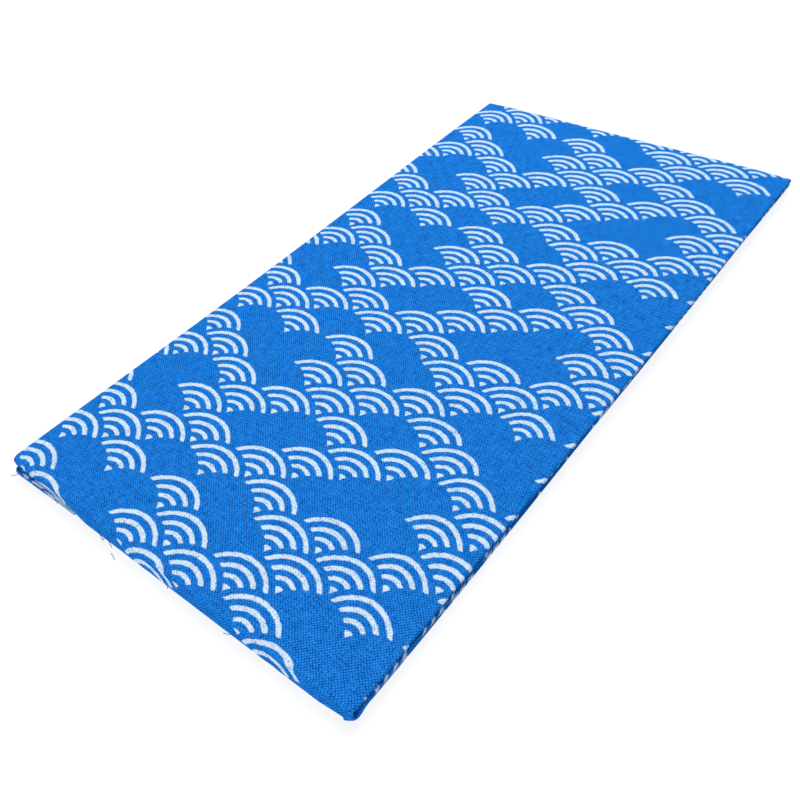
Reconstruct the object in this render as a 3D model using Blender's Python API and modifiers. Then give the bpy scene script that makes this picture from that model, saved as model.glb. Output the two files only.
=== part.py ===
"""A tenugui, a thin cotton towel, folded into a flat packet and lying on a table.

The strip is a third of the cloth's width and three plies thick. It is folded in half
lengthwise, and in half again, so the packet has four levels a little apart. The outer
fold at the back wraps the inner one. At the front the top cloth turns down in a crease
and hangs over both cut ends, nearly to the table. The cut ends come out under it at the
left corner, and the lowest one at the right corner too.

Units are metres. X runs along the short side, Y along the long side and Z up. The origin
is on the table under the middle of the packet.
"""

import math
from collections import namedtuple

import bmesh
import bpy

# The cloth as it is cut, and how often each way it is folded
CUT_WIDTH = 0.340
CUT_LENGTH = 0.860
PLIES_ACROSS = 3
LEVELS = 4

# The packet
PACKET_WIDTH = CUT_WIDTH / PLIES_ACROSS
PACKET_LENGTH = CUT_LENGTH / LEVELS - 0.0005
LEVEL_THICKNESS = 0.0010
LEVEL_GAP = 0.00033
LEVEL_PITCH = LEVEL_THICKNESS + LEVEL_GAP

# Rounding of the long edges and cut ends, and of the packet's corners seen from above
EDGE_ROUNDING = 0.0004
EDGE_ROUNDING_STEPS = 2
EDGE_ROUNDING_ANGLE = math.radians(50)
CORNER_RADIUS = 0.0024
CORNER_SHARE = 0.6

# Slow wander of each level's long edges, out and in along the packet
EDGE_WANDER = 0.0003
WANDER_TURNS = 6.0
WANDER_STEP_PER_LEVEL = 2.1

# Soft unevenness of the upper levels, as parts of their height over the lowest one
SWELL = 0.035
SWELL_WAVES_PER_METRE = {"long": (17.0, 31.0), "short": (64.0, -22.0)}
SHORT_SWELL_SHARE = 0.6
EDGE_DROP = 0.065
EDGE_DROP_WIDTH = 0.012

# Columns of the cloth across the packet, from -1 at the left edge to 1 at the right
COLUMNS = (
    *(-1.0, -0.982, -0.94, -0.86, -0.74, -0.62, -0.57, -0.50, -0.25),
    *(0.02, 0.25, 0.48, 0.70, 0.86, 0.94, 0.985, 1.0),
)

# Stations along a level: close together within these distances of its ends, even between
NEAR_ENDS = (0.0005, 0.0013, 0.0025, 0.0055)
STEPS_ALONG_LEVEL = 10
STEPS_ROUND_INNER_FOLD = 8
STEPS_ROUND_OUTER_FOLD = 10

# How far each level's long edges lie in from the packet's outline, in metres:
# (left at the front, left at the back, right at the front, right at the back), lowest first
EDGE_INSETS = (
    (0.0002, 0.0009, 0.0007, 0.0013),
    (0.0007, 0.0003, 0.0003, 0.0010),
    (0.0000, 0.0006, 0.0001, 0.0004),
    (0.0006, 0.0000, 0.0000, 0.0000),
)

# How far the front of each level lies in from the packet's outline, and how far the fold
# there hangs down and leans out, at places across the packet, in metres:
# (place, lowest level, second level, fold of the upper two, hang, lean)
FRONT_TABLE = (
    (-1.00, 0.0003, 0.0000, 0.0011, 0.0001, 0.0000),
    (-0.62, 0.0007, 0.0010, 0.0010, 0.0001, 0.0000),
    (-0.57, 0.0008, 0.0042, 0.0010, 0.0003, 0.0001),
    (-0.50, 0.0052, 0.0052, 0.0010, 0.0021, 0.0005),
    (0.86, 0.0052, 0.0052, 0.0014, 0.0021, 0.0005),
    (1.00, 0.0012, 0.0052, 0.0016, 0.0010, 0.0003),
)
COLUMN_OF_LEVEL = (1, 2, 3, 3)
HANG_COLUMN = 4
LEAN_COLUMN = 5
FRONT_FADE = 0.020
HANG_FADE = 0.0028

# The front fold: 1 would be a round one, and less is squarer on the outside
CREASE_POWER = 0.40

BLUE = (0.008, 0.157, 0.679, 1.0)


def clear_scene():
    for item in list(bpy.data.objects):
        bpy.data.objects.remove(item, do_unlink=True)


def level_height(level):
    """Height of the middle of a level's thickness, counted from 0 at the bottom."""
    return LEVEL_THICKNESS / 2 + level * LEVEL_PITCH


# A place along the cloth's middle: the centre that it turns round, how far from the
# centre the middle is, the way out from there, 1 or -1 for whether the outer side is
# further out, the level, the share of the hang, and whether the fold is squarer there
Station = namedtuple("Station", "y z radius run rise side level hang square")


def straight(start, end, level, face):
    """Stations along a level without the last one, face 1 where the outer side looks up."""
    length = abs(end - start)
    reach = NEAR_ENDS[-1]
    even = [reach + (length - 2 * reach) * i / STEPS_ALONG_LEVEL for i in range(STEPS_ALONG_LEVEL)]
    places = [0.0, *NEAR_ENDS[:-1], *even, *(length - near for near in reversed(NEAR_ENDS))]
    direction = 1 if end > start else -1
    height = level_height(level)
    stations = []
    for place in places:
        hang = ease(1 - place / HANG_FADE) if level == 2 else 0.0
        stations.append(Station(start + direction * place, height, 0.0, 0.0, face, 1, level, hang, False))
    return stations


def round_fold(centre_y, low, high, at_back, first_turn, last_turn, steps, side=1, hang=0.0):
    """Stations round part of a fold that joins two levels, turns counted up from below."""
    centre_z = (level_height(low) + level_height(high)) / 2
    radius = (level_height(high) - level_height(low)) / 2
    stations = []
    for i in range(steps):
        turn = first_turn + (last_turn - first_turn) * i / steps
        run = math.sin(turn) * (1 if at_back else -1)
        rise = -math.cos(turn)
        level = low + (high - low) * (rise + 1) / 2
        stations.append(Station(centre_y, centre_z, radius, run, rise, side, level, hang, not at_back))
    return stations


def fold_stations():
    """Stations along the middle of the cloth, from the lowest cut end to the other cut end."""
    half_turn = math.pi / 2
    front = -PACKET_LENGTH / 2
    outer_radius = LEVEL_PITCH * (LEVELS - 1) / 2
    back_centre = PACKET_LENGTH / 2 - LEVEL_THICKNESS / 2 - outer_radius
    front_centre = front + LEVEL_THICKNESS / 2 + LEVEL_PITCH / 2
    quarter_steps = STEPS_ROUND_INNER_FOLD // 2
    path = straight(front, back_centre, 0, -1)
    path += round_fold(back_centre, 0, 3, True, 0.0, math.pi, STEPS_ROUND_OUTER_FOLD)
    path += straight(back_centre, front_centre, 3, 1)
    path += round_fold(front_centre, 2, 3, False, math.pi, half_turn, quarter_steps)
    path += round_fold(front_centre, 2, 3, False, half_turn, half_turn, 1)
    path += round_fold(front_centre, 2, 3, False, half_turn, 0.0, quarter_steps, hang=1.0)
    path += straight(front_centre, back_centre, 2, -1)
    path += round_fold(back_centre, 1, 2, True, math.pi, 0.0, STEPS_ROUND_INNER_FOLD, side=-1)
    path += straight(back_centre, front, 1, 1)
    path.append(Station(front, level_height(1), 0.0, 0.0, 1, 1, 1, 0.0, False))
    return path


def between_levels(table, level, column):
    """Value of a table's column at a level, which may lie between two on a fold."""
    low = min(int(level), LEVELS - 2)
    share = level - low
    return table[low][column] * (1 - share) + table[low + 1][column] * share


def ease(share):
    share = min(max(share, 0.0), 1.0)
    return share * share * (3 - 2 * share)


def corner_inset(y):
    """How far the edge draws in where the outline turns round a corner."""
    from_end = min(y + PACKET_LENGTH / 2, PACKET_LENGTH / 2 - y)
    reach = min(max(1 - from_end / CORNER_RADIUS, 0.0), 1.0)
    return CORNER_SHARE * CORNER_RADIUS * (1 - math.sqrt(1 - reach * reach))


def edge_place(y, level, side):
    """X of a level's long edge at a place along the packet, side -1 for left and 1 for right."""
    along = y / PACKET_LENGTH + 0.5
    first = 0 if side < 0 else 2
    front = between_levels(EDGE_INSETS, level, first)
    back = between_levels(EDGE_INSETS, level, first + 1)
    wander = EDGE_WANDER * (1 + math.sin(WANDER_TURNS * along + WANDER_STEP_PER_LEVEL * level + side))
    inset = front + (back - front) * ease(along) + wander
    return side * (PACKET_WIDTH / 2 - inset - corner_inset(y))


def front_value(column, across):
    """Value of the front table's column at a place across the packet."""
    for before, after in zip(FRONT_TABLE, FRONT_TABLE[1:]):
        if across <= after[0]:
            share = (across - before[0]) / (after[0] - before[0])
            return before[column] * (1 - share) + after[column] * share
    return FRONT_TABLE[-1][column]


def front_shift(y, level, across):
    """How far back a station moves so that the front edge runs as unevenly as it lies."""
    inset = front_value(COLUMN_OF_LEVEL[int(level)], across)
    from_front = y + PACKET_LENGTH / 2
    return inset * ease(1 - from_front / FRONT_FADE)


def swell(x, y):
    """Share by which the upper levels stand higher here than nominal."""
    long_x, long_y = SWELL_WAVES_PER_METRE["long"]
    short_x, short_y = SWELL_WAVES_PER_METRE["short"]
    waves = math.sin(long_x * x + long_y * y)
    waves += SHORT_SWELL_SHARE * math.sin(short_x * x + short_y * y + 1.0)
    to_edge = PACKET_WIDTH / 2 - abs(x)
    return SWELL * waves / (1 + SHORT_SWELL_SHARE) - EDGE_DROP * (1 - ease(to_edge / EDGE_DROP_WIDTH))


def cloth_point(across, station, side):
    """Point on one side of the cloth: 1 for its outer side, -1 for its inner side."""
    outward = side * LEVEL_THICKNESS / 2
    reach = station.radius + station.side * outward
    power = CREASE_POWER if station.square and side > 0 else 1.0
    y = station.y + reach * math.copysign(abs(station.run) ** power, station.run)
    z = station.z + reach * math.copysign(abs(station.rise) ** power, station.rise)
    right = edge_place(y, station.level, 1)
    left = edge_place(y, station.level, -1)
    x = right * (1 + across) / 2 + left * (1 - across) / 2
    hang = station.hang * front_value(HANG_COLUMN, across)
    lean = station.hang * front_value(LEAN_COLUMN, across)
    return (x, y + front_shift(y, station.level, across) - lean, z * (1 + swell(x, y)) - hang)


def folded_sheet(stations):
    """A flat grid and its copy as the cloth's two sides, closed round the rim and folded."""
    sheet = bmesh.new()
    last_column = len(COLUMNS) - 1
    last_station = len(stations) - 1
    bmesh.ops.create_grid(sheet, x_segments=last_column, y_segments=last_station, size=0.5)
    inner = list(sheet.verts)
    copied = bmesh.ops.extrude_face_region(sheet, geom=list(sheet.faces), use_keep_orig=True)
    outer = [item for item in copied["geom"] if isinstance(item, bmesh.types.BMVert)]
    for side, verts in ((-1, inner), (1, outer)):
        for vert in verts:
            across = COLUMNS[round((vert.co.x + 0.5) * last_column)]
            station = stations[round((vert.co.y + 0.5) * last_station)]
            vert.co = cloth_point(across, station, side)
    bmesh.ops.recalc_face_normals(sheet, faces=sheet.faces)
    return sheet


def cotton_material():
    material = bpy.data.materials.new("blue_cotton")
    material.use_nodes = True
    shader = material.node_tree.nodes["Principled BSDF"]
    shader.inputs["Base Color"].default_value = BLUE
    shader.inputs["Roughness"].default_value = 0.9
    shader.inputs["Metallic"].default_value = 0.0
    return material


def build_towel(collection):
    sheet = folded_sheet(fold_stations())
    mesh = bpy.data.meshes.new("towel")
    sheet.to_mesh(mesh)
    sheet.free()
    towel = bpy.data.objects.new("towel", mesh)
    collection.objects.link(towel)
    towel.data.materials.append(cotton_material())

    soften = towel.modifiers.new("soft_edges", "BEVEL")
    soften.limit_method = "ANGLE"
    soften.angle_limit = EDGE_ROUNDING_ANGLE
    soften.width = EDGE_ROUNDING
    soften.segments = EDGE_ROUNDING_STEPS
    return towel


def main():
    clear_scene()
    collection = bpy.data.collections.new("tenugui_towel")
    bpy.context.scene.collection.children.link(collection)
    build_towel(collection)


main()
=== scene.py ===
"""Looks of the folded tenugui: its plies, folds, print and weave, lit as in the photo.

The cloth is one thin sheet, folded in three across and in four along, over the folds of
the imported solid. Its print and weave are worked out from the place in the flat cloth, so
they run round every fold. Lengths are metres, but for the print, which is in millimetres.
"""

import math

import bpy
import numpy as np
from mathutils import Matrix, Vector


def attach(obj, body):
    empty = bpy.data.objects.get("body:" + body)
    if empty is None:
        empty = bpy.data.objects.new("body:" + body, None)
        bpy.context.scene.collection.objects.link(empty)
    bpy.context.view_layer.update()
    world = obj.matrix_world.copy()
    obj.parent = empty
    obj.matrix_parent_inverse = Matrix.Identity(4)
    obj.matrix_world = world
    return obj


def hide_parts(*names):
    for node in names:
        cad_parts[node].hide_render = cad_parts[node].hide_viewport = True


# The cloth as it is cut
CUT_WIDTH = 0.340
CUT_LENGTH = 0.860

# The packet and its four levels, as in the solid
PACKET_WIDTH = CUT_WIDTH / 3
PACKET_LENGTH = CUT_LENGTH / 4 - 0.0005
LEVEL_THICKNESS = 0.0010
LEVEL_PITCH = 0.00133
CORNER_RADIUS = 0.0024
CORNER_SHARE = 0.6

# Three plies in a level: their thickness, and the pitch from one to the next
PLY = 0.00027
PLY_PITCH = (LEVEL_THICKNESS - PLY) / 2
SELVEDGE_SHORTFALL = 0.0016

# How far each level's long edges lie in from the packet's outline:
# (left at the front, left at the back, right at the front, right at the back), lowest first
EDGE_INSETS = np.array(
    [
        (0.0002, 0.0009, 0.0007, 0.0013),
        (0.0007, 0.0003, 0.0003, 0.0010),
        (0.0000, 0.0006, 0.0001, 0.0004),
        (0.0006, 0.0000, 0.0000, 0.0000),
    ]
)
EDGE_WANDER = 0.0003
WANDER_TURNS = 6.0
WANDER_STEP_PER_LEVEL = 2.1

# How far the front of each level lies in from the packet's outline, and how far the fold
# there hangs down and leans out, at places across the packet:
# (place, lowest level, second level, fold of the upper two, hang, lean)
FRONT_TABLE = np.array(
    [
        (-1.00, 0.0003, 0.0000, 0.0011, 0.0001, 0.0000),
        (-0.62, 0.0007, 0.0010, 0.0010, 0.0001, 0.0000),
        (-0.57, 0.0008, 0.0042, 0.0010, 0.0003, 0.0001),
        (-0.50, 0.0052, 0.0052, 0.0010, 0.0021, 0.0005),
        (0.86, 0.0052, 0.0052, 0.0014, 0.0021, 0.0005),
        (1.00, 0.0012, 0.0052, 0.0016, 0.0010, 0.0003),
    ]
)
COLUMN_OF_LEVEL = np.array([1, 2, 3, 3])
HANG_COLUMN = 4
LEAN_COLUMN = 5
FRONT_FADE = 0.020
HANG_FADE = 0.0028

# The front fold: 1 would be a round one, and less is squarer on the outside
CREASE_POWER = 0.40

# Soft unevenness, as in the solid, and the finer one that only the cloth has
SWELL = 0.035
SWELL_WAVES_PER_METRE = {"long": (17.0, 31.0), "short": (64.0, -22.0)}
SHORT_SWELL_SHARE = 0.6
EDGE_DROP = 0.065
EDGE_DROP_WIDTH = 0.012

# Steps of the mesh: along each level, lowest first, and across each third of the cloth
LEVEL_STEPS = (50, 44, 44, 150)
OUTER_FOLD_STEPS = 16
INNER_FOLD_STEPS = 12
HANG_STEPS = 6
THIRD_STEPS = (12, 60, 12)
CROSS_FOLD_STEPS = 8
END_CROWDING = 0.88

# The print, in millimetres: one scale's width, the step from row to row, and where the
# first scale of the first row has its centre, from the middle of the packet
SCALE_WIDTH = 19.23
ROW_STEP = 6.08
FIRST_CENTRE = (-51.2, -95.7)

# Rings of a scale and the wedge at its centre, as parts of the scale's width, and how
# much wider they are at the back of the packet
RINGS = {"outer": (0.495, 0.0275), "middle": (0.352, 0.0285), "inner": (0.2165, 0.0265)}
WEDGE_RADIUS = 0.107
WIDER_AT_BACK = 0.0065
END_MARGIN = 0.012
END_ROUNDING = 0.016
PRINT_EDGE = (0.009, -0.007)

# Which scales are printed, given as a chart: six across, ten rows from the front
PRINTED = (
    (1, 1, 1, 0, 1, 1),
    (1, 0, 0, 1, 1, 0),
    (1, 1, 1, 1, 1, 1),
    (0, 1, 1, 0, 0, 1),
    (0, 1, 0, 1, 0, 1),
    (0, 1, 0, 1, 0, 1),
    (1, 1, 1, 1, 1, 1),
    (1, 0, 1, 0, 1, 0),
    (1, 0, 1, 1, 1, 0),
    (0, 0, 1, 1, 0, 0),
)

# The print runs a little off true: how far it drifts, in millimetres. Places across go
# from -1 at the left to 1 at the right, and places back from 0 at the front to 1
DRIFT_SPREAD = 0.7
DRIFT_RIGHT = 2.3
DRIFT_RIGHT_TILT = -1.7
DRIFT_BOW = 1.0
FRONT_BOW_LOSS = 0.5
DRIFT_ARCH = -0.30
DRIFT_TWIST = -0.7
LEFT_DRIFT_BACK = 3.5
RIGHT_DRIFT_BACK = 0.6
RIGHT_DRIFT_BOW = 1.5
LEFT_SWAY = 1.0
RIGHT_SHIFT = 0.4
RIGHT_EDGE_SWAY = -2.0
RIGHT_EDGE_TILT = 1.0
END_DRIFT_BACK = 1.0
BOW_TURN = 0.9 * math.pi

# Between which two places each drift sets in
FRONT_BOW_ZONE = (0.16, 0.03)
LEFT_ZONE = (-0.35, -0.90)
RIGHT_ZONE = (0.45, 0.80)
LEFT_SWAY_ZONE = (-0.15, -0.55)
RIGHT_SHIFT_ZONE = (0.05, 0.50)
RIGHT_EDGE_ZONE = (0.60, 0.90)
END_ZONE = (0.86, 0.96)
END_LEFT_ZONE = (0.30, -0.20)

# Colours, linear
BLUE = (0.024, 0.300, 0.94)
# The dark blue in the gaps between threads is painted shade
BLUE_SHADED_GAP = (0.001, 0.070, 0.36)
WHITE = (0.70, 0.85, 1.0)
WHITE_AT_BACK = (0.56, 0.77, 0.97)
# The blue-grey where the white print shows gaps between threads is painted shade
WHITE_SHADED_GAP = (0.18, 0.33, 0.60)
LOOSE_BLUE = (0.01, 0.16, 0.60)

# The weave: the pitch of its threads in millimetres, how far they wander, and how much
# the crossings stand out from the loosest places to the tightest
THREAD_PITCH = 0.405
THREAD_WANDER = 0.5
TIGHTNESS = (0.45, 1.50)

# How far the dye creeps along the threads, and the scale of its noise
CREEP = 0.5
CREEP_SCALE = 0.9

# What the relief is made of, how it lightens the blue, with painted shade where it is low, and where the
# white shows painted shade in the gaps
RELIEF = {"crossing": 0.85, "rows": -0.40, "slubs": 1.8, "uneven": 1.6}
RELIEF_LIGHT = 0.62
WHITE_GAPS = (-0.25, -0.95)

# Slubs: scales of their noise along x, y and z
SLUB_SCALES = ((0.30, 2.4, 1.0), (2.4, 0.30, 1.0))

# Loose threads at the cut ends, in millimetres from the middle of the packet:
# (x, y and height where it starts, x, y and height of its middle, x, y and height of its tip)
LOOSE_THREADS = (
    (-53.0, -106.4, 2.2, -53.4, -107.4, 1.0, -56.0, -108.3, 0.2),
    (-17.6, -106.2, 3.2, -16.8, -106.9, 1.8, -15.6, -107.2, 0.7),
    (-18.0, -106.2, 3.0, -18.4, -106.9, 1.6, -19.0, -107.2, 0.8),
    (-21.4, -106.1, 3.4, -20.2, -106.8, 2.4, -18.9, -107.2, 0.9),
    (-14.9, -108.2, 0.2, -13.9, -108.4, 0.4, -12.9, -108.8, 0.1),
    (24.6, -105.9, 1.6, 23.2, -106.7, 0.9, 21.4, -106.9, 0.3),
    (-37.4, -107.0, 1.2, -36.4, -107.3, 2.2, -35.2, -107.2, 3.0),
    (2.8, -106.2, 1.6, 3.3, -106.6, 0.9, 3.7, -106.8, 0.6),
)
LOOSE_RADIUS = 0.08

# A station is a place along the cloth's middle: the centre that it turns round, how far
# from the centre the middle is, the way out from there, 1 or -1 for whether the outer side
# is further out, the level, the share of the hang, and whether the fold is squarer there
STATION = {
    name: i for i, name in enumerate(("y", "z", "radius", "run", "rise", "side", "level", "hang", "square"))
}

# The floor is blown out to white in the photo, so it gives a little light of its own
FLOOR_COLOUR = (0.18, 0.18, 0.18)
FLOOR_GLOW = 0.86

# The lights: strength of the sky, and (name, place, aim, size, watts) of each lamp
SKY_STRENGTH = 0.22
LAMPS = (
    ("overhead", (-0.25, 0.45, 0.9), (0.0, 0.0, 0.0), 0.9, 11.6),
    ("front", (0.10, -0.65, 0.16), (0.0, -0.1, 0.0), 0.3, 1.4),
)

# The camera, placed and turned as the photo was taken
CAMERA_PLACE = (0.11589, -0.14318, 0.15099)
CAMERA_AIM = (0.0099, -0.03384, 0.0)
CAMERA_ROLL = math.radians(-7.99)
CAMERA_LENS = 37.505


def ease(share):
    share = np.clip(share, 0.0, 1.0)
    return share * share * (3 - 2 * share)


def crowded(steps):
    """Shares from 0 towards 1, without 1, close together near both ends."""
    even = np.arange(steps) / steps
    return even - END_CROWDING * np.sin(2 * np.pi * even) / (2 * np.pi)


def level_height(level):
    return LEVEL_THICKNESS / 2 + level * LEVEL_PITCH


def straight(start, end, level, face):
    """Stations along a level without the last one, face 1 where the outer side looks up."""
    share = crowded(LEVEL_STEPS[level])
    rows = np.zeros((len(share), len(STATION)))
    rows[:, STATION["y"]] = start + (end - start) * share
    rows[:, STATION["z"]] = level_height(level)
    rows[:, STATION["rise"]] = face
    rows[:, STATION["side"]] = 1
    rows[:, STATION["level"]] = level
    if level == 2:
        rows[:, STATION["hang"]] = ease(1 - share * abs(end - start) / HANG_FADE)
    return rows


def round_fold(centre_y, low, high, at_back, first_turn, last_turn, steps, side=1, hang=0.0):
    """Stations round part of a fold that joins two levels, turns counted up from below."""
    turn = first_turn + (last_turn - first_turn) * np.arange(steps) / steps
    rise = -np.cos(turn)
    rows = np.zeros((steps, len(STATION)))
    rows[:, STATION["y"]] = centre_y
    rows[:, STATION["z"]] = (level_height(low) + level_height(high)) / 2
    rows[:, STATION["radius"]] = (level_height(high) - level_height(low)) / 2
    rows[:, STATION["run"]] = np.sin(turn) * (1 if at_back else -1)
    rows[:, STATION["rise"]] = rise
    rows[:, STATION["side"]] = side
    rows[:, STATION["level"]] = low + (high - low) * (rise + 1) / 2
    rows[:, STATION["hang"]] = hang
    rows[:, STATION["square"]] = 0.0 if at_back else 1.0
    return rows


def hanging_face(centre_y):
    """Stations down the face of the front fold, where it hangs straight."""
    rows = np.repeat(round_fold(centre_y, 2, 3, False, math.pi / 2, math.pi / 2, 1), HANG_STEPS, axis=0)
    rows[:, STATION["hang"]] = np.arange(HANG_STEPS) / HANG_STEPS
    return rows


def along_the_cloth():
    """Stations along the cloth's middle, from the lowest cut end to the other cut end."""
    half_turn = math.pi / 2
    front = -PACKET_LENGTH / 2
    back_centre = PACKET_LENGTH / 2 - LEVEL_THICKNESS / 2 - LEVEL_PITCH * 3 / 2
    front_centre = front + LEVEL_THICKNESS / 2 + LEVEL_PITCH / 2
    quarter = INNER_FOLD_STEPS // 2
    return np.concatenate(
        [
            straight(front, back_centre, 0, -1.0),
            round_fold(back_centre, 0, 3, True, 0.0, math.pi, OUTER_FOLD_STEPS),
            straight(back_centre, front_centre, 3, 1.0),
            round_fold(front_centre, 2, 3, False, math.pi, half_turn, quarter),
            hanging_face(front_centre),
            round_fold(front_centre, 2, 3, False, half_turn, 0.0, quarter, hang=1.0),
            straight(front_centre, back_centre, 2, -1.0),
            round_fold(back_centre, 1, 2, True, math.pi, 0.0, INNER_FOLD_STEPS, side=-1),
            straight(back_centre, front, 1, 1.0),
            straight(front, back_centre, 1, 1.0)[:1],
        ]
    )


def across_the_cloth():
    """Rows of (x, height in the level, face x, face height) from one selvedge to the other."""
    half = PACKET_WIDTH / 2 - PLY / 2
    left = -half + PLY_PITCH / 2
    right = half - PLY_PITCH
    first, middle, last = THIRD_STEPS
    rows = []
    for share in crowded(first):
        start = right - SELVEDGE_SHORTFALL
        rows.append((start + (left - start) * share, 0.0, 0.0, -1.0))
    for i in range(CROSS_FOLD_STEPS):
        turn = math.pi * i / CROSS_FOLD_STEPS
        run, rise = -math.sin(turn), -math.cos(turn)
        rows.append((left + PLY_PITCH / 2 * run, PLY_PITCH / 2 * (1 + rise), run, rise))
    for share in crowded(middle):
        rows.append((left + (right - left) * share, PLY_PITCH, 0.0, 1.0))
    for i in range(CROSS_FOLD_STEPS):
        turn = math.pi * i / CROSS_FOLD_STEPS
        run, rise = math.sin(turn), math.cos(turn)
        rows.append((right + PLY_PITCH * run, PLY_PITCH * rise, run, rise))
    end = -half + SELVEDGE_SHORTFALL
    for share in (*crowded(last), 1.0):
        rows.append((right + (end - right) * share, -PLY_PITCH, 0.0, -1.0))
    return np.array(rows)


def between_levels(table, level, column):
    low = np.minimum(level.astype(int), 2)
    share = level - low
    return table[low, column] * (1 - share) + table[low + 1, column] * share


def edge_place(y, level, side):
    along = y / PACKET_LENGTH + 0.5
    first = 0 if side < 0 else 2
    front = between_levels(EDGE_INSETS, level, first)
    back = between_levels(EDGE_INSETS, level, first + 1)
    wander = EDGE_WANDER * (1 + np.sin(WANDER_TURNS * along + WANDER_STEP_PER_LEVEL * level + side))
    from_end = np.minimum(y + PACKET_LENGTH / 2, PACKET_LENGTH / 2 - y)
    reach = np.clip(1 - from_end / CORNER_RADIUS, 0.0, 1.0)
    corner = CORNER_SHARE * CORNER_RADIUS * (1 - np.sqrt(1 - reach * reach))
    return side * (PACKET_WIDTH / 2 - front - (back - front) * ease(along) - wander - corner)


def front_value(column, across):
    """Value of the front table's column at places across the packet."""
    return np.interp(across, FRONT_TABLE[:, 0], FRONT_TABLE[:, column])


def front_shift(y, level, across):
    insets = np.stack([front_value(column, across) for column in COLUMN_OF_LEVEL])
    whole = np.broadcast_to(level.astype(int), (y * across).shape)
    inset = np.take_along_axis(np.broadcast_to(insets, (4, *whole.shape)), whole[None], 0)[0]
    return inset * ease(1 - (y + PACKET_LENGTH / 2) / FRONT_FADE)


def swell(x, y):
    long_x, long_y = SWELL_WAVES_PER_METRE["long"]
    short_x, short_y = SWELL_WAVES_PER_METRE["short"]
    waves = np.sin(long_x * x + long_y * y)
    waves = waves + SHORT_SWELL_SHARE * np.sin(short_x * x + short_y * y + 1.0)
    to_edge = PACKET_WIDTH / 2 - np.abs(x)
    return SWELL * waves / (1 + SHORT_SWELL_SHARE) - EDGE_DROP * (1 - ease(to_edge / EDGE_DROP_WIDTH))


def path_lengths(points):
    """Lengths along the first axis of an array of points."""
    steps = np.linalg.norm(np.diff(points, axis=0), axis=-1)
    return np.concatenate([np.zeros((1, *steps.shape[1:])), np.cumsum(steps, axis=0)])


def folded_points(side):
    """Points over one side of the cloth, 1 for its outer side and 0 for its middle."""
    stations = along_the_cloth()
    station = {name: stations[:, i][:, None] for name, i in STATION.items()}
    flat_x, height, out_x, out_height = (column[None, :] for column in across_the_cloth().T)
    outward = height + side * PLY / 2 * out_height
    reach = station["radius"] + station["side"] * outward
    crisp = np.clip(outward / (LEVEL_THICKNESS / 2), 0.0, 1.0) * station["square"]
    power = 1 - (1 - CREASE_POWER) * crisp
    y = station["y"] + reach * np.sign(station["run"]) * np.abs(station["run"]) ** power
    z = station["z"] + reach * np.sign(station["rise"]) * np.abs(station["rise"]) ** power
    share = flat_x / PACKET_WIDTH + 0.5
    x = edge_place(y, station["level"], 1) * share + edge_place(y, station["level"], -1) * (1 - share)
    across = 2 * share - 1
    points = np.zeros((*y.shape, 3))
    points[:, :, 0] = x + side * PLY / 2 * out_x
    lean = station["hang"] * front_value(LEAN_COLUMN, across)
    points[:, :, 1] = y + front_shift(y, station["level"], across) - lean
    points[:, :, 2] = z * (1 + swell(x, y)) - station["hang"] * front_value(HANG_COLUMN, across)
    return points


def print_places():
    """Each point's place in the print, which is measured on the packet's top."""
    points = folded_points(0)
    run = path_lengths(points)
    middle_of_top = LEVEL_STEPS[0] + OUTER_FOLD_STEPS + LEVEL_STEPS[3] // 2
    across = across_the_cloth()
    width = path_lengths(across[:, :2])
    left_of_middle = THIRD_STEPS[0] + CROSS_FOLD_STEPS
    places = np.zeros(points.shape)
    places[:, :, 0] = across[left_of_middle, 0] + width[None, :] - width[left_of_middle]
    places[:, :, 1] = points[middle_of_top, :, 1] - (run - run[middle_of_top])
    return places


def grid_faces(rows, columns, first, flip):
    corner = first + np.arange(rows * columns).reshape(rows, columns)
    faces = np.stack([corner[:-1, :-1], corner[:-1, 1:], corner[1:, 1:], corner[1:, :-1]], -1).reshape(-1, 4)
    return faces[:, ::-1] if flip else faces


def rim_faces(rows, columns):
    """Faces between the cloth's two sides, along the cut ends and the selvedges."""
    corner = np.arange(rows * columns).reshape(rows, columns)
    ring = np.concatenate([corner[0, :-1], corner[:-1, -1], corner[-1, :0:-1], corner[:0:-1, 0]])
    after = np.roll(ring, -1)
    other = rows * columns
    return np.stack([after, ring, ring + other, after + other], -1)


def build_cloth():
    outer = folded_points(1)
    inner = folded_points(-1)
    rows, columns = outer.shape[:2]
    points = np.concatenate([outer.reshape(-1, 3), inner.reshape(-1, 3)])
    faces = np.concatenate(
        [
            grid_faces(rows, columns, 0, False),
            grid_faces(rows, columns, rows * columns, True),
            rim_faces(rows, columns),
        ]
    )
    mesh = bpy.data.meshes.new("tenugui_cloth")
    mesh.from_pydata(points.tolist(), [], faces.tolist())
    places = print_places().reshape(-1, 3)
    stored = mesh.attributes.new("print_place", "FLOAT_VECTOR", "POINT")
    stored.data.foreach_set("vector", np.concatenate([places, places]).ravel())
    mesh.shade_smooth()
    cloth = bpy.data.objects.new("tenugui_cloth", mesh)
    bpy.context.scene.collection.objects.link(cloth)
    return cloth


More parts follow.
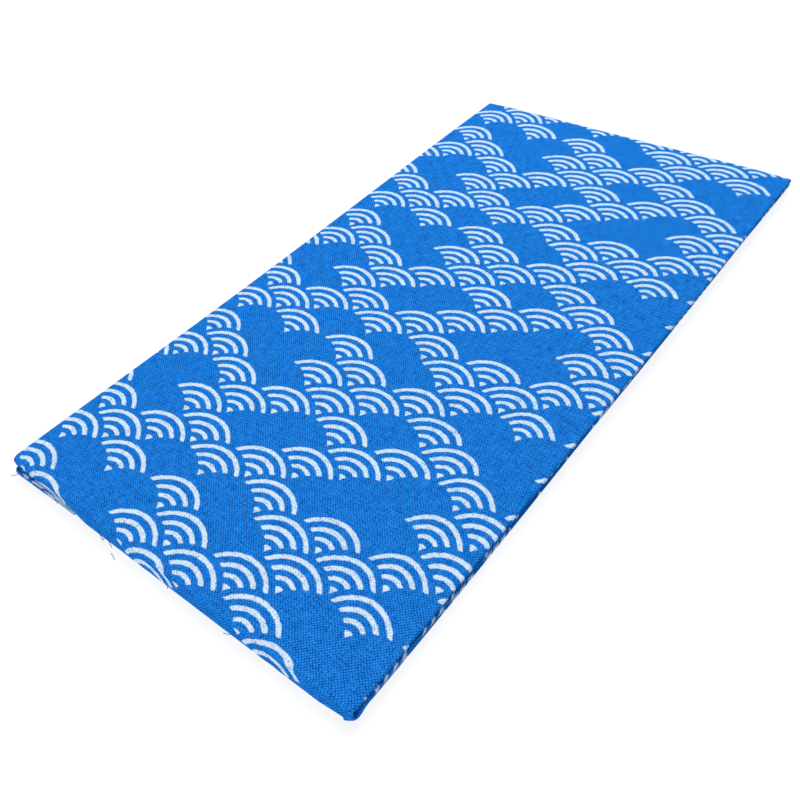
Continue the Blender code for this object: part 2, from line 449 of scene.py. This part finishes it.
class Sums:
    """Builds a material's arithmetic from math nodes."""

    def __init__(self, tree):
        self.tree = tree

    def node(self, kind, **settings):
        made = self.tree.nodes.new(kind)
        for name, value in settings.items():
            setattr(made, name, value)
        return made

    def join(self, value, socket):
        if isinstance(value, bpy.types.NodeSocket):
            self.tree.links.new(value, socket)
        else:
            socket.default_value = value

    def math(self, operation, *values, clamp=False):
        made = self.node("ShaderNodeMath", operation=operation, use_clamp=clamp)
        for value, socket in zip(values, made.inputs):
            self.join(value, socket)
        return made.outputs[0]

    def add(self, first, *others):
        total = first
        for other in others:
            total = self.math("ADD", total, other)
        return total

    def sub(self, a, b):
        return self.math("SUBTRACT", a, b)

    def mul(self, first, *others):
        total = first
        for other in others:
            total = self.math("MULTIPLY", total, other)
        return total

    def length(self, a, b):
        return self.math("SQRT", self.add(self.mul(a, a), self.mul(b, b)))

    def mix(self, share, low, high):
        """Value from low at share 0 to high at share 1."""
        return self.math("MULTIPLY_ADD", self.sub(high, low), share, low)

    def colour(self, share, low, high):
        made = self.node("ShaderNodeMix", data_type="RGBA")
        self.join(share, made.inputs["Factor"])
        self.join(low if isinstance(low, bpy.types.NodeSocket) else (*low, 1.0), made.inputs["A"])
        self.join(high if isinstance(high, bpy.types.NodeSocket) else (*high, 1.0), made.inputs["B"])
        return made.outputs["Result"]

    def ramp(self, value, start, end):
        """0 up to start, 1 from end on, and smooth between them."""
        made = self.node("ShaderNodeMapRange", interpolation_type="SMOOTHSTEP")
        self.join(value, made.inputs["Value"])
        made.inputs["From Min"].default_value = start
        made.inputs["From Max"].default_value = end
        return made.outputs["Result"]

    def noise(self, vector, scale, detail=2.0):
        made = self.node("ShaderNodeTexNoise")
        self.tree.links.new(vector, made.inputs["Vector"])
        made.inputs["Scale"].default_value = scale
        made.inputs["Detail"].default_value = detail
        return made.outputs["Fac"]


def drifted(sums, x, y):
    """The place in the print before it ran off true."""
    half_width, half_length = 500 * PACKET_WIDTH, 500 * PACKET_LENGTH
    across = sums.math("MAXIMUM", sums.math("MINIMUM", sums.mul(x, 1 / half_width), 1.0), -1.0)
    back = sums.math("MULTIPLY_ADD", y, 0.5 / half_length, 0.5, clamp=True)
    right = sums.mul(sums.add(DRIFT_RIGHT, sums.mul(DRIFT_RIGHT_TILT, across)), back)
    right = sums.add(right, sums.mul(DRIFT_SPREAD, across))
    kept_bow = sums.mix(sums.ramp(back, *FRONT_BOW_ZONE), DRIFT_BOW, DRIFT_BOW - FRONT_BOW_LOSS)
    bow = sums.mul(kept_bow, sums.math("COSINE", sums.mul(across, BOW_TURN)))
    at_left = sums.ramp(across, *LEFT_ZONE)
    at_right = sums.ramp(across, *RIGHT_ZONE)
    arch = sums.math("SINE", sums.mul(back, math.pi))
    wave = sums.math("SINE", sums.mul(back, 2 * math.pi))
    sway = sums.mul(sums.math("MAXIMUM", sums.mul(wave, -1.0), 0.0), LEFT_SWAY)
    at_edge = sums.ramp(across, *RIGHT_EDGE_ZONE)
    edge_sway = sums.add(sums.mul(arch, RIGHT_EDGE_SWAY), sums.mul(back, RIGHT_EDGE_TILT))
    sideways = sums.add(
        sums.mul(sums.ramp(across, *LEFT_SWAY_ZONE), sway),
        sums.mul(sums.ramp(across, *RIGHT_SHIFT_ZONE), RIGHT_SHIFT),
        sums.mul(at_edge, edge_sway),
    )
    at_end = sums.mul(sums.ramp(back, *END_ZONE), sums.ramp(across, *END_LEFT_ZONE))
    end_back = sums.mul(at_end, END_DRIFT_BACK)
    left_back = sums.mul(at_left, sums.mul(LEFT_DRIFT_BACK, back))
    right_back = sums.mul(at_right, sums.add(RIGHT_DRIFT_BACK, sums.mul(RIGHT_DRIFT_BOW, arch)))
    twist = sums.mul(DRIFT_TWIST, across, wave)
    to_back = sums.add(left_back, right_back, sums.mul(DRIFT_ARCH, arch), twist, end_back)
    to_right = sums.add(right, bow, sideways)
    return sums.sub(x, to_right), sums.sub(y, to_back)


def nearest_scale(sums, x, y, row):
    """Distance to the nearest centre of a row, how far sideways and back it is, and its column."""
    odd = sums.math("FLOORED_MODULO", row, 2.0)
    shifted = sums.sub(x, sums.mul(odd, 0.5))
    column = sums.math("FLOOR", sums.add(shifted, 0.5))
    sideways = sums.sub(shifted, column)
    back = sums.sub(y, sums.mul(row, ROW_STEP / SCALE_WIDTH))
    return sums.length(sideways, back), sideways, back, column


def printed_here(sums, row, column):
    """1 where the chart has this scale printed."""
    chart_row = sums.math("FLOORED_MODULO", row, float(len(PRINTED)))
    chart_column = sums.math("FLOORED_MODULO", column, float(len(PRINTED[0])))
    code = 0.0
    for i, marks in enumerate(PRINTED):
        value = float(sum(mark << place for place, mark in enumerate(marks)))
        code = sums.add(code, sums.mul(sums.math("COMPARE", chart_row, float(i), 0.5), value))
    place = sums.math("POWER", 2.0, chart_column)
    shifted = sums.math("FLOOR", sums.math("DIVIDE", sums.add(code, 0.25), place))
    return sums.math("GREATER_THAN", sums.math("FLOORED_MODULO", shifted, 2.0), 0.5)


def print_share(sums, x, y):
    """How much of the white print there is at a place in millimetres, from 0 to 1."""
    step = ROW_STEP / SCALE_WIDTH
    reach = math.hypot(0.5, step)
    true_x, true_y = drifted(sums, x, y)
    across = sums.mul(sums.sub(true_x, FIRST_CENTRE[0]), 1 / SCALE_WIDTH)
    back = sums.mul(sums.sub(true_y, FIRST_CENTRE[1]), 1 / SCALE_WIDTH)
    front_row = sums.math("CEIL", sums.mul(sums.sub(back, reach), 1 / step))
    near = nearest_scale(sums, across, back, front_row)
    next_row = sums.add(front_row, 1.0)
    far = nearest_scale(sums, across, back, next_row)
    covered = sums.math("LESS_THAN", near[0], reach)
    distance, sideways, behind, column = (sums.mix(covered, b, a) for a, b in zip(near, far))
    row = sums.mix(covered, next_row, front_row)

    bands = sums.sub(distance, WEDGE_RADIUS)
    for middle, half_width in RINGS.values():
        band = sums.sub(sums.math("ABSOLUTE", sums.sub(distance, middle)), half_width)
        bands = sums.math("MINIMUM", bands, band)
    along = sums.mul(back, SCALE_WIDTH / (1000 * PACKET_LENGTH))
    bands = sums.sub(bands, sums.mul(along, along, WIDER_AT_BACK))
    from_side = sums.sub(sums.math("ABSOLUTE", sideways), 0.5)
    outside = sums.sub(sums.length(from_side, sums.add(behind, step)), reach)
    ends = sums.sub(END_MARGIN, outside)
    round_a = sums.math("MAXIMUM", sums.add(bands, END_ROUNDING), 0.0)
    round_b = sums.math("MAXIMUM", sums.add(ends, END_ROUNDING), 0.0)
    deep = sums.math("MINIMUM", sums.math("MAXIMUM", bands, ends), -END_ROUNDING)
    edge = sums.add(sums.length(round_a, round_b), deep)
    return sums.mul(sums.ramp(edge, *PRINT_EDGE), printed_here(sums, row, column))


def cotton():
    material = bpy.data.materials.new("printed_cotton")
    material.use_nodes = True
    tree = material.node_tree
    sums = Sums(tree)
    shader = tree.nodes["Principled BSDF"]
    place = sums.node("ShaderNodeAttribute", attribute_name="print_place").outputs["Vector"]
    millimetres = sums.node("ShaderNodeVectorMath", operation="SCALE")
    tree.links.new(place, millimetres.inputs[0])
    millimetres.inputs["Scale"].default_value = 1000.0
    spot = millimetres.outputs[0]
    split = sums.node("ShaderNodeSeparateXYZ")
    tree.links.new(spot, split.inputs[0])
    x, y = split.outputs[0], split.outputs[1]

    # The dye creeps a little along the threads, so the print's edges are uneven
    creep_x = sums.mul(sums.sub(sums.noise(spot, CREEP_SCALE), 0.5), CREEP)
    shifted = sums.node("ShaderNodeVectorMath", operation="ADD")
    tree.links.new(spot, shifted.inputs[0])
    shifted.inputs[1].default_value = (31.0, 17.0, 5.0)
    creep_y = sums.mul(sums.sub(sums.noise(shifted.outputs[0], CREEP_SCALE), 0.5), CREEP)
    share = print_share(sums, sums.add(x, creep_x), sums.add(y, creep_y))

    # Plain weave: warp and weft pass over each other by turns, with gaps between the threads
    turn = math.pi / THREAD_PITCH
    wobble = sums.mul(sums.sub(sums.noise(spot, 0.25), 0.5), THREAD_WANDER)
    warp = sums.mul(sums.add(x, wobble), turn)
    weft = sums.mul(sums.add(y, wobble), turn)
    tightness = sums.mix(sums.noise(spot, 0.7), *TIGHTNESS)
    crossing = sums.mul(sums.math("SINE", warp), sums.math("SINE", weft), tightness)
    rows = sums.math("COSINE", sums.mul(weft, 2.0))
    uneven = sums.sub(sums.noise(spot, 2.2, 3.0), 0.5)
    slubs = 0.0
    for scales in SLUB_SCALES:
        stretched = sums.node("ShaderNodeVectorMath", operation="MULTIPLY")
        tree.links.new(spot, stretched.inputs[0])
        stretched.inputs[1].default_value = scales
        slubs = sums.add(slubs, sums.sub(sums.noise(stretched.outputs[0], 1.0), 0.5))
    threads = sums.add(sums.mul(crossing, RELIEF["crossing"]), sums.mul(rows, RELIEF["rows"]))
    relief = sums.add(threads, sums.mul(slubs, RELIEF["slubs"]), sums.mul(uneven, RELIEF["uneven"]))
    # The colour follows the relief: painted shade in the gaps between threads, and the yarn's own uneven
    # tone from the slubs and noise
    light = sums.math("MULTIPLY_ADD", relief, RELIEF_LIGHT, 0.5, clamp=True)
    blue = sums.colour(light, BLUE_SHADED_GAP, BLUE)
    gaps = sums.ramp(relief, *WHITE_GAPS)
    back = sums.math("MULTIPLY_ADD", y, 1 / (1000 * PACKET_LENGTH), 0.5, clamp=True)
    white = sums.colour(gaps, sums.colour(back, WHITE, WHITE_AT_BACK), WHITE_SHADED_GAP)
    tree.links.new(sums.colour(share, blue, white), shader.inputs["Base Color"])

    bump = sums.node("ShaderNodeBump")
    bump.inputs["Distance"].default_value = 0.00008
    bump.inputs["Strength"].default_value = 0.6
    tree.links.new(relief, bump.inputs["Height"])
    tree.links.new(bump.outputs[0], shader.inputs["Normal"])
    shader.inputs["Roughness"].default_value = 0.92
    shader.inputs["Specular IOR Level"].default_value = 0.0
    return material


def loose_cotton():
    material = bpy.data.materials.new("loose_cotton")
    material.use_nodes = True
    shader = material.node_tree.nodes["Principled BSDF"]
    shader.inputs["Base Color"].default_value = (*LOOSE_BLUE, 1.0)
    shader.inputs["Roughness"].default_value = 0.9
    shader.inputs["Specular IOR Level"].default_value = 0.1
    return material


def build_loose_threads():
    curve = bpy.data.curves.new("loose_threads", "CURVE")
    curve.dimensions = "3D"
    curve.bevel_depth = LOOSE_RADIUS / 1000
    curve.bevel_resolution = 1
    curve.use_fill_caps = True
    for row in LOOSE_THREADS:
        places = np.array(row).reshape(3, 3) / 1000
        spline = curve.splines.new("NURBS")
        spline.points.add(len(places) - 1)
        for point, place in zip(spline.points, places):
            point.co = (*place, 1.0)
        spline.order_u = 3
        spline.use_endpoint_u = True
    threads = bpy.data.objects.new("loose_threads", curve)
    bpy.context.scene.collection.objects.link(threads)
    return threads


def pale_floor():
    half = 1.5
    mesh = bpy.data.meshes.new("floor")
    corners = [(-half, -half, 0.0), (half, -half, 0.0), (half, half, 0.0), (-half, half, 0.0)]
    mesh.from_pydata(corners, [], [(0, 1, 2, 3)])
    floor = bpy.data.objects.new("floor", mesh)
    bpy.context.scene.collection.objects.link(floor)
    material = bpy.data.materials.new("pale_floor")
    material.use_nodes = True
    shader = material.node_tree.nodes["Principled BSDF"]
    shader.inputs["Base Color"].default_value = (*FLOOR_COLOUR, 1.0)
    shader.inputs["Emission Color"].default_value = (1.0, 1.0, 1.0, 1.0)
    shader.inputs["Emission Strength"].default_value = FLOOR_GLOW
    shader.inputs["Roughness"].default_value = 1.0
    shader.inputs["Specular IOR Level"].default_value = 0.0
    mesh.materials.append(material)
    return floor


def soft_light(name, place, aim, size, power):
    data = bpy.data.lights.new(name, "AREA")
    data.shape = "DISK"
    data.size = size
    data.energy = power
    light = bpy.data.objects.new(name, data)
    light.location = place
    light.rotation_mode = "QUATERNION"
    light.rotation_quaternion = (Vector(aim) - Vector(place)).to_track_quat("-Z", "Y")
    bpy.context.scene.collection.objects.link(light)
    return light


def sky(strength):
    world = bpy.data.worlds.new("soft_white")
    world.use_nodes = True
    background = world.node_tree.nodes["Background"]
    background.inputs["Color"].default_value = (1.0, 1.0, 1.0, 1.0)
    background.inputs["Strength"].default_value = strength
    bpy.context.scene.world = world


def photo_camera():
    data = bpy.data.cameras.new("camera")
    data.lens = CAMERA_LENS
    data.sensor_width = 36.0
    data.clip_start = 0.01
    camera = bpy.data.objects.new("camera", data)
    place, aim = Vector(CAMERA_PLACE), Vector(CAMERA_AIM)
    turned = (aim - place).to_track_quat("-Z", "Y").to_matrix() @ Matrix.Rotation(CAMERA_ROLL, 3, "Z")
    camera.rotation_mode = "QUATERNION"
    camera.rotation_quaternion = turned.to_quaternion()
    camera.location = place
    bpy.context.scene.collection.objects.link(camera)
    bpy.context.scene.camera = camera


def corners(box):
    return [list(corner) for corner in box]


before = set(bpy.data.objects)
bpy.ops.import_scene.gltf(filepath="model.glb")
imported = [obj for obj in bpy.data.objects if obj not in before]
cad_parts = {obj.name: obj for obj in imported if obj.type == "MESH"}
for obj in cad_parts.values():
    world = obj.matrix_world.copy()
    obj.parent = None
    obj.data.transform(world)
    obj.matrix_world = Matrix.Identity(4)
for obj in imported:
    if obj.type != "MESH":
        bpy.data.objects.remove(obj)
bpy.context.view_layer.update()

cloth = build_cloth()
cloth.data.materials.append(cotton())
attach(cloth, "root")
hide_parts("towel")

threads = build_loose_threads()
threads.data.materials.append(loose_cotton())
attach(threads, "root")

floor = pale_floor()

sky(SKY_STRENGTH)
for lamp in LAMPS:
    soft_light(*lamp)
photo_camera()
bpy.context.scene.view_settings.view_transform = "Standard"
